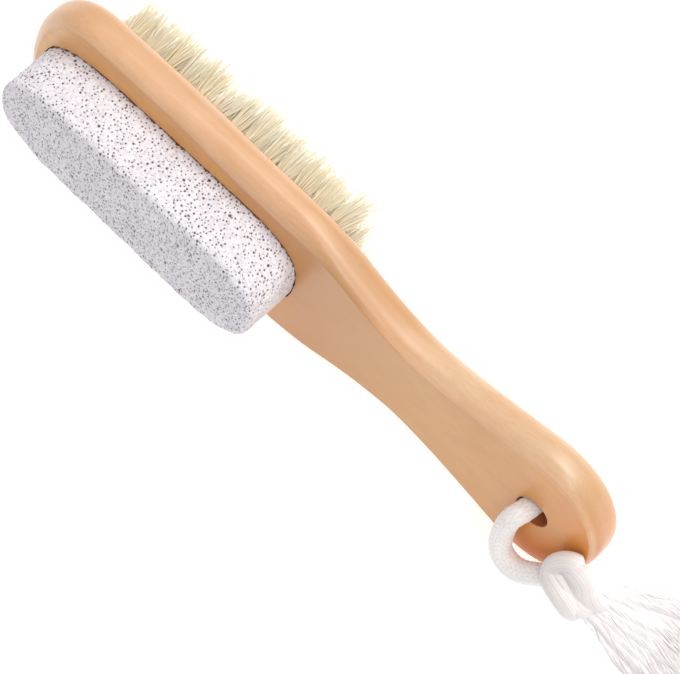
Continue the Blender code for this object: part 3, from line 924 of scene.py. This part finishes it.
def frames_along(line, first_up):
    """Two unit vectors across the line at each point, carried along without twist."""
    run = np.gradient(line, axis=0)
    run /= np.linalg.norm(run, axis=1)[:, None]
    across = np.zeros_like(line)
    other = np.zeros_like(line)
    up = np.asarray(first_up, float)
    for i, r in enumerate(run):
        up = up - r * up.dot(r)
        up /= np.linalg.norm(up)
        across[i] = up
        other[i] = np.cross(r, up)
    return across, other


def stitch_relief(turn, walked):
    """Height of a knitted cord's columns of V stitches, from 0 in the gaps to 1 on a stitch's crown."""
    column = stitch_columns * turn / (2.0 * pi)
    leg = np.abs(2.0 * (column % 1.0) - 1.0)
    shift = 0.31 * np.floor(column)
    stitch = np.abs(np.sin(pi * (walked / stitch_pitch + 0.75 * leg + shift)))
    return stitch**0.5 * (1.0 - 0.55 * leg**6) * (1.0 - 0.25 * (1.0 - leg) ** 6)


def ply_relief(turn, walked, plies):
    """Height of soft uneven plies that wind slowly round a strand."""
    fine = np.abs(np.sin((plies * turn + walked * 210.0) / 2.0)) ** 0.6
    coarse = np.abs(np.sin(((plies // 2 - 2) * turn - walked * 150.0) / 2.0 + 1.1))
    return 0.65 * fine + 0.35 * coarse


def strand(line, walked, first_up, wide, thick, relief, depth, around, ease=0.0):
    """Points, faces, grooves and lay of a closed strand of elliptical section that carries a relief."""
    across, other = frames_along(line, first_up)
    turn = np.linspace(0.0, 2.0 * pi, around, endpoint=False)
    points, groove_shade, lay = [], [], []
    for i, place in enumerate(line):
        low = 1.0 - relief(turn, walked[i])
        fade = 1.0
        if ease > 0.0:
            near = min(walked[i], walked[-1] - walked[i]) / ease
            fade = min(1.0, max(0.05, near)) ** 0.5
        shrink = depth * low
        side = np.cos(turn) * (thick[i] / 2 * fade - shrink)
        rise = np.sin(turn) * (wide[i] / 2 * fade - shrink)
        points.append(place + np.outer(side, across[i]) + np.outer(rise, other[i]))
        groove_shade.append(low)
        lay.append(np.stack([np.full(around, 0.15 * walked[i]), side, rise], 1))
    points, groove_shade, lay = (np.concatenate(rings) for rings in (points, groove_shade, lay))
    return points, capped_faces(len(line), around), groove_shade, lay


def joined(name, parts):
    """One mesh of several strands."""
    faces = []
    start = 0
    for points, part_faces, _, _ in parts:
        faces += [tuple(start + i for i in corners) for corners in part_faces]
        start += len(points)
    points, _, groove_shade, lay = zip(*parts)
    values = {"groove_shade": np.concatenate(groove_shade), "lay": np.concatenate(lay)}
    return mesh_from(name, np.concatenate(points), faces, values)


def build_loop(material):
    """The knitted cord's loop with its route and length, a little thicker on the ground side."""
    route = np.array(cord_route) + hole_offset
    line, walked = smooth_line(route, strand_step)
    thick = cord_diameter + loop_swell * np.exp(-(((walked - loop_swell_at) / loop_swell_run) ** 2))
    part = strand(line, walked, (1.0, 0.0, 0.0), thick, thick, stitch_relief, stitch_depth, loop_around)
    mesh = joined("knitted_cord", [part])
    loop = piece("knitted_cord", mesh, material, "hang_cord", "cord_loop", slot="white_cotton")
    path = [tuple(brush @ Vector(p)) for p in smooth_line(route, 0.002)[0]]
    return loop, path, float(walked[-1])


# The knot's strands: stations from the hole's centre, each with a width and a thickness. The wrap lies over
# the others, one strand passes under it to the tassel, and a thin one is the wrap's back.
knot_wrap = (
    (0.0174, -0.0074, 0.0019, 0.0050, 0.0040),
    (0.0147, -0.0079, 0.0013, 0.0052, 0.0042),
    (0.0128, -0.0085, -0.0011, 0.0058, 0.0044),
    (0.0119, -0.0096, -0.0044, 0.0060, 0.0046),
    (0.0134, -0.0112, -0.0054, 0.0062, 0.0050),
    (0.0161, -0.0126, -0.0044, 0.0062, 0.0054),
    (0.0188, -0.0127, -0.0056, 0.0058, 0.0054),
    (0.0209, -0.0114, -0.0096, 0.0050, 0.0048),
    (0.0222, -0.0092, -0.0144, 0.0038, 0.0036),
)
knot_through = (
    (0.0144, -0.0082, -0.0057, 0.0046, 0.0038),
    (0.0162, -0.0086, -0.0003, 0.0062, 0.0048),
    (0.0188, -0.0089, 0.0001, 0.0070, 0.0052),
    (0.0203, -0.0087, -0.0033, 0.0072, 0.0052),
    (0.0224, -0.0076, -0.0078, 0.0072, 0.0048),
    (0.0240, -0.0053, -0.0120, 0.0066, 0.0036),
    (0.0256, -0.0031, -0.0158, 0.0050, 0.0024),
)
knot_back = (
    (0.0226, -0.0078, -0.0160, 0.0040, 0.0032),
    (0.0228, -0.0064, -0.0110, 0.0056, 0.0028),
    (0.0206, -0.0067, -0.0050, 0.0050, 0.0026),
    (0.0176, -0.0072, 0.0006, 0.0038, 0.0030),
)

# The core fills the knot's middle from inside the long leg on. The inlet joins the short leg's end to it.
knot_core = (
    (0.0107, -0.0091, -0.0119, 0.0044, 0.0044),
    (0.0127, -0.0093, -0.0088, 0.0052, 0.0050),
    (0.0146, -0.0098, -0.0056, 0.0060, 0.0062),
    (0.0165, -0.0104, -0.0036, 0.0060, 0.0068),
    (0.0186, -0.0104, -0.0060, 0.0068, 0.0078),
    (0.0208, -0.0097, -0.0086, 0.0076, 0.0072),
    (0.0230, -0.0070, -0.0118, 0.0072, 0.0054),
)
knot_inlet = (
    (0.0155, -0.0034, -0.0164, 0.0048, 0.0048),
    (0.0159, -0.0058, -0.0153, 0.0055, 0.0055),
    (0.0170, -0.0080, -0.0134, 0.0060, 0.0060),
    (0.0187, -0.0096, -0.0108, 0.0062, 0.0062),
    (0.0201, -0.0102, -0.0084, 0.0054, 0.0054),
)


def station_arrays(stations):
    """Places in the brush frame of a strand's stations, and their widths and thicknesses."""
    table = np.array(stations)
    return table[:, :3] + hole_offset, table[:, 3:]


def knot_strand(stations, plies):
    """One strand of the knot through its stations, with soft plies and rounded ends."""
    places, sizes = station_arrays(stations)
    line, walked = smooth_line(places, strand_step)
    at = np.linspace(0.0, 1.0, len(stations))
    wide, thick = at_ways(np.linspace(0.0, 1.0, len(line)), at, sizes).T

    def relief(turn, way):
        return ply_relief(turn, way, plies)

    return strand(line, walked, ground_up, wide, thick, relief, ply_depth, knot_around, strand_end_run)


def build_knot(material):
    strands = ((knot_core, 24), (knot_wrap, 24), (knot_through, 26), (knot_back, 18), (knot_inlet, 22))
    mesh = joined("overhand_knot", [knot_strand(stations, plies) for stations, plies in strands])
    return piece("overhand_knot", mesh, material, "hang_cord", "cord_knot", slot="white_cotton")


# The frayed ends: a station inside the knot, then as in the part
tassel_stations = (
    (0.0188, -0.0076, -0.0100, 0.0056, 0.0046),
    (0.0212, -0.0058, -0.0116, 0.0082, 0.0066),
    (0.0236, -0.0043, -0.0129, 0.0096, 0.0062),
    (0.0266, -0.0024, -0.0148, 0.0118, 0.0058),
    (0.0301, -0.0009, -0.0165, 0.0146, 0.0052),
    (0.0339, 0.0004, -0.0179, 0.0176, 0.0045),
    (0.0370, 0.0016, -0.0188, 0.0202, 0.0038),
    (0.0399, 0.0027, -0.0196, 0.0226, 0.0032),
    (0.0433, 0.0038, -0.0203, 0.0248, 0.0028),
    (0.0470, 0.0048, -0.0207, 0.0264, 0.0024),
    (0.0507, 0.0056, -0.0207, 0.0272, 0.0020),
)
tassel_steps = 34
core_steps = 31
core_sides = 24
# The share of painted shade on the tassel's middle, which lies under the yarns
core_shade = 0.45
tassel_yarns = 96
yarn_fibres = 16
yarn_radius = 0.00042
fibre_sides = 5
fibre_taper = (0.4, 0.7, 0.9)


def tassel_sections():
    """Share of the way, centre, sideways direction, width and thickness of the tassel at even steps."""
    places, sizes = station_arrays(tassel_stations)
    side = np.cross(ground_up, np.gradient(places, axis=0))
    side /= np.linalg.norm(side, axis=1)[:, None]
    walked = way_along(places)
    at = np.linspace(0.0, walked[-1], tassel_steps)
    centres, sides, spans = (at_ways(at, walked, rows) for rows in (places, side, sizes))
    return list(zip(np.linspace(0.0, 1.0, tassel_steps), centres, sides, *spans.T))


def above_ground(place, margin):
    """The place, lifted where it would be less than a margin above the ground."""
    low = float(place.dot(ground_up)) - ground_level - margin
    return place - ground_up * min(low, 0.0)


def tassel_core(sections):
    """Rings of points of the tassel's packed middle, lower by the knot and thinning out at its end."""
    points = []
    for k, (_, centre, side, wide, thick) in enumerate(sections[:core_steps]):
        fade = min(0.76 + 0.016 * k, ((core_steps - k) / 7.0) ** 0.5)
        for c, s in unit_ring(core_sides):
            place = centre + side * (c * wide / 2 * 0.96) + ground_up * (s * thick / 2 * fade)
            points.append(above_ground(place, 0.0001))
    return points


def yarn_lines(sections, yarn, chance):
    """Middle lines of a yarn's fibres, which wind round one another and part towards their ends."""
    ring = ((yarn + 0.5) / tassel_yarns) ** 0.42
    angle = yarn * golden_turn
    a, b = ring * cos(angle), ring * sin(angle)
    phase = chance.uniform(0.0, 2.0 * pi)
    wave = chance.uniform(0.0003, 0.0009)
    turns = chance.uniform(0.6, 1.3)
    end = chance.uniform(0.86, 1.0)
    for f in range(yarn_fibres):
        spot = 2.0 * pi * f / yarn_fibres
        size = yarn_radius if f else 0.0
        lag = chance.uniform(-0.3, 0.3)
        loose = chance.uniform(0.4, 1.5)
        last = max(6, int(tassel_steps * end * chance.uniform(0.94, 1.0)))
        line = []
        for s, centre, side, wide, thick in sections[:last]:
            turned = phase + turns * 2.0 * pi * s
            sway = wave * s * sin(turned + lag)
            lift = 0.5 * wave * s * cos(turned)
            coil = spot + 2.0 * pi * 2.4 * s + phase
            open_up = size * (0.9 + 1.5 * loose * s)
            aside = a * wide / 2 * 0.99 + sway + open_up * cos(coil)
            rise = b * thick / 2 * 0.88 + lift + 0.8 * open_up * sin(coil)
            line.append(above_ground(centre + side * aside + ground_up * rise, 0.00025))
        yield line


def fibre_points(line, radius):
    """Rings of points round a fibre that thins out at its end."""
    across, other = frames_along(np.array(line), ground_up)
    points = []
    for k, place in enumerate(line):
        left = len(line) - 1 - k
        taper = fibre_taper[left] if left < len(fibre_taper) else 1.0
        points += [place + (across[k] * c + other[k] * s) * radius * taper for c, s in unit_ring(fibre_sides)]
    return points


def build_tassel(material):
    """Loose yarns that leave the knot together and open into a fan, over a pale packed middle."""
    chance = random.Random(5)
    sections = tassel_sections()
    points = tassel_core(sections)
    groove_shade = [core_shade] * len(points)
    faces = capped_faces(core_steps, core_sides)
    for yarn in range(tassel_yarns):
        for line in yarn_lines(sections, yarn, chance):
            faces += capped_faces(len(line), fibre_sides, len(points))
            added = fibre_points(line, chance.uniform(0.00009, 0.00015))
            groove_shade += [0.20 * chance.random()] * len(added)
            points += added
    points = np.array(points)
    mesh = mesh_from("frayed_ends", points, faces, {"groove_shade": groove_shade, "lay": points})
    return piece("frayed_ends", mesh, material, "hang_cord", "cord_tassel", slot="white_cotton")


# Camera, floor and light

# The camera's place in the brush frame, with its right and up directions
camera_place = (0.2131, -0.3568, 0.7068)
camera_right = (0.7221, 0.6584, 0.2122)
camera_up = (-0.6772, 0.6104, 0.4108)
camera_lens = 185.3
camera_sensor = 36.0
floor_half = 3.0
floor_below = 0.00005
world_strength = 0.54


def build_camera():
    right = Vector(camera_right).normalized()
    up = Vector(camera_up)
    up = (up - right * up.dot(right)).normalized()
    back = right.cross(up)
    axes = Matrix((right, up, back)).transposed().to_4x4()
    data = bpy.data.cameras.new("photo_camera")
    data.lens = camera_lens
    data.sensor_width = camera_sensor
    data.sensor_fit = "HORIZONTAL"
    data.clip_start = 0.01
    data.clip_end = 20.0
    made = linked("photo_camera", data)
    made.matrix_world = brush @ Matrix.Translation(camera_place) @ axes
    bpy.context.scene.camera = made


def area_light(name, place, size, power, colour):
    """A rectangular light that faces the origin."""
    data = bpy.data.lights.new(name, "AREA")
    data.shape = "RECTANGLE"
    data.size, data.size_y = size
    data.energy = power
    data.color = colour
    made = linked(name, data)
    made.location = place
    made.rotation_mode = "QUATERNION"
    made.rotation_quaternion = Vector(place).to_track_quat("Z", "Y")


def build_studio():
    """The floor, an even white surrounding and two lights."""
    corners = [(x * floor_half, y * floor_half, 0.0) for x, y in ((-1, -1), (1, -1), (1, 1), (-1, 1))]
    mesh = mesh_from("studio_floor", corners, [(0, 1, 2, 3)])
    mesh.materials.append(floor_material())
    floor = linked("studio_floor", mesh)
    floor.location = (0.0, 0.0, -floor_below)
    world = bpy.data.worlds.new("studio_world")
    world.use_nodes = True
    background = world.node_tree.nodes["Background"]
    background.inputs["Color"].default_value = (1.0, 1.0, 1.0, 1.0)
    background.inputs["Strength"].default_value = world_strength
    bpy.context.scene.world = world
    area_light("key_light", (0.25, 0.75, 1.15), size=(0.9, 0.7), power=12.5, colour=(1.0, 0.99, 0.97))
    area_light("streak_light", (0.50, -0.04, 1.20), size=(0.35, 0.25), power=2.5, colour=(1.0, 1.0, 1.0))
    bpy.context.scene.view_settings.view_transform = "Standard"


build_camera()
build_studio()
knitted_cotton = cotton_material("knitted_cotton_look", (248, 243, 241), (254, 251, 250))
loop, loop_path, loop_length = build_loop(knitted_cotton)
# The knot's cotton is the loop's, painted greyer as painted shade.
knot = build_knot(cotton_material("knotted_cotton_shaded_look", (230, 223, 221), (238, 232, 230)))
tassel = build_tassel(cotton_material("frayed_cotton_look", (245, 240, 240), (250, 247, 247), fuzz=0.00001))
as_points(loop_path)
build_board(wood_material())
build_stone(stone_material())
build_bristles(bristle_material())
bed = frame["nodes"]["stone_adhesive_bed"]
for spot in bed.material_slots:
    spot.material = adhesive_material()
